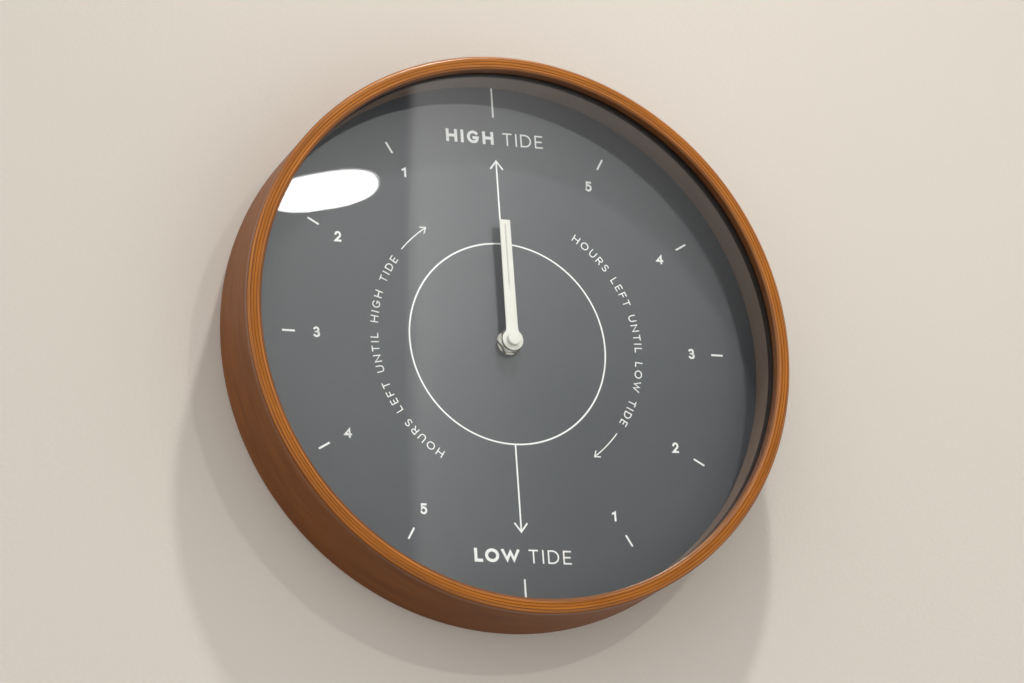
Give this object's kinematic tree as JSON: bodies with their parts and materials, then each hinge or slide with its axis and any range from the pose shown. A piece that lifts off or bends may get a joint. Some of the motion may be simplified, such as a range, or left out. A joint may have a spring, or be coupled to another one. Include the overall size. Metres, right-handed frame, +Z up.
{
  "type": "tide clock",
  "caption": "Round wall-hung tide clock: stained bentwood hoop, flat glass, slate dial, one hand on a geared quartz movement with a lift-out cell and a keyhole hanger.",
  "frame": {"origin": "centre of the hoop's flat rear face, on the shaft axis, in the plane of the wall", "axes": "+Z up, +Y into the wall along the shaft, +X to the right seen from the front; the dial faces -Y"},
  "size_m": [0.3, 0.0466, 0.3],
  "materials": {
    "stained_wood": "satin amber stain over bent plywood",
    "clear_glass": "clear, polished",
    "black_gasket": "matt black",
    "spacer_board": "matt brown-grey",
    "dial_paint": "matt slate-grey paint with white print",
    "backing_board": "raw fibreboard",
    "zinc_steel": "zinc plated",
    "plain_wood": "raw softwood",
    "black_rubber": "matt black",
    "nickel": "nickel plated",
    "case_plastic": "fine-textured black",
    "soft_iron": "rolled iron",
    "wheel_plastic": "natural white",
    "copper_wire": "enamelled copper",
    "circuit_resin": "green lacquer",
    "chip_epoxy": "black epoxy",
    "contact_steel": "nickel-plated spring steel",
    "brass": "turned",
    "hand_paint": "satin off-white paint",
    "knob_plastic": "light grey",
    "magnet": "sintered",
    "cell_jacket": "plain printed sleeve"
  },
  "bodies": {
    "clock_body": {"wood_rim": "stained_wood", "glass_lens": "clear_glass", "lens_gasket": "black_gasket", "spacer_ring": "spacer_board", "dial_sheet": "dial_paint", "dial_board": "backing_board", "board_clips": "zinc_steel", "clip_screws": "zinc_steel", "hanger_block": "plain_wood", "hanger_plate": "zinc_steel", "hanger_screws": "zinc_steel", "rubber_washer": "black_rubber", "dial_washer": "nickel", "hex_nut": "nickel", "movement_case": "case_plastic", "movement_cover": "case_plastic", "stator": "soft_iron", "coil_core": "soft_iron", "coil_bobbin": "wheel_plastic", "coil_winding": "copper_wire", "circuit_board": "circuit_resin", "driver_chip": "chip_epoxy", "quartz_crystal": "nickel", "contact_positive": "contact_steel", "contact_negative": "contact_steel"},
    "hand_body": {"tide_wheel": "brass", "hand_collet": "brass", "tide_hand": "hand_paint", "hub_cap": "hand_paint"},
    "cannon_body": {"cannon_pinion": "brass"},
    "motion_body": {"motion_wheel": "wheel_plastic", "setting_knob": "knob_plastic"},
    "centre_body": {"centre_wheel": "wheel_plastic"},
    "third_body": {"third_wheel": "wheel_plastic"},
    "second_body": {"second_wheel": "wheel_plastic"},
    "intermediate_body": {"intermediate_wheel": "wheel_plastic"},
    "rotor_body": {"rotor": "wheel_plastic", "rotor_magnet": "magnet"},
    "battery_body": {"battery_cell": "cell_jacket"}
  },
  "joints": [
    {"name": "hand_turn", "type": "hinge", "parent": "clock_body", "child": "hand_body", "pos_m": [0, -0.009, 0], "axis": [0, 1, 0], "continuous": true},
    {"name": "motion_turn", "type": "hinge", "parent": "clock_body", "child": "motion_body", "pos_m": [-0.00552, -0.009, -0.00956], "axis": [0, 1, 0], "continuous": true},
    {"name": "cannon_turn", "type": "hinge", "parent": "clock_body", "child": "cannon_body", "pos_m": [0, -0.009, 0], "axis": [0, 1, 0], "continuous": true},
    {"name": "rotor_turn", "type": "hinge", "parent": "clock_body", "child": "rotor_body", "pos_m": [0.01266, -0.009, 0.0042], "axis": [0, 1, 0], "continuous": true},
    {"name": "intermediate_turn", "type": "hinge", "parent": "clock_body", "child": "intermediate_body", "pos_m": [0.0042, -0.009, 0.00727], "axis": [0, 1, 0], "continuous": true},
    {"name": "second_turn", "type": "hinge", "parent": "clock_body", "child": "second_body", "pos_m": [0, -0.009, 0], "axis": [0, 1, 0], "continuous": true},
    {"name": "third_turn", "type": "hinge", "parent": "clock_body", "child": "third_body", "pos_m": [-0.00935, -0.009, 0.0054], "axis": [0, 1, 0], "continuous": true},
    {"name": "centre_turn", "type": "hinge", "parent": "clock_body", "child": "centre_body", "pos_m": [0, -0.009, 0], "axis": [0, 1, 0], "continuous": true},
    {"name": "battery_slide", "type": "slide", "parent": "clock_body", "child": "battery_body", "axis": [0, 1, 0], "range_m": [0, 0.02]}
  ],
  "couplings": [
    {"joint": "motion_turn", "follows": "hand_turn", "ratio": -4},
    {"joint": "cannon_turn", "follows": "hand_turn", "ratio": 12},
    {"joint": "intermediate_turn", "follows": "rotor_turn", "ratio": -0.2},
    {"joint": "second_turn", "follows": "rotor_turn", "ratio": 0.033333},
    {"joint": "third_turn", "follows": "rotor_turn", "ratio": -0.0041667},
    {"joint": "centre_turn", "follows": "rotor_turn", "ratio": 0.00053763}
  ]
}
